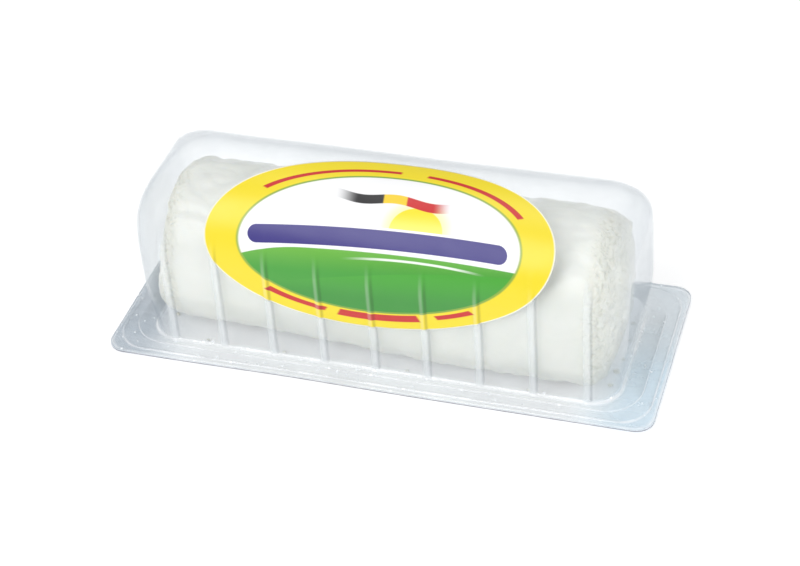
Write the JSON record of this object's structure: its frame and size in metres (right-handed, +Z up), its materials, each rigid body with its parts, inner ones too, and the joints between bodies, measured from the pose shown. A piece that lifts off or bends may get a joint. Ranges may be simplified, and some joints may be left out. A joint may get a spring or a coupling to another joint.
{
  "type": "cheese log in clear pack",
  "caption": "Soft white goat cheese log sealed in a clear ribbed domed pack with a stepped flange, a flat bottom film and an oval paper label",
  "frame": {"origin": "centre of the bottom face of the pack's film, which lies on Z = 0", "axes": "+X along the log, +Y across the pack away from the label side, +Z up; the label faces -Y and up"},
  "size_m": [0.1548, 0.061, 0.0527],
  "materials": {
    "cheese": "matt soft fresh white cheese",
    "clear_sheet": "clear glossy thermoformed plastic sheet",
    "clear_film": "clear glossy plastic film",
    "label_paper": "satin printed paper with a white back"
  },
  "bodies": {
    "root": {"cheese_log": "cheese", "dome": "clear_sheet", "base_film": "clear_film", "label": "label_paper"}
  },
  "joints": []
}
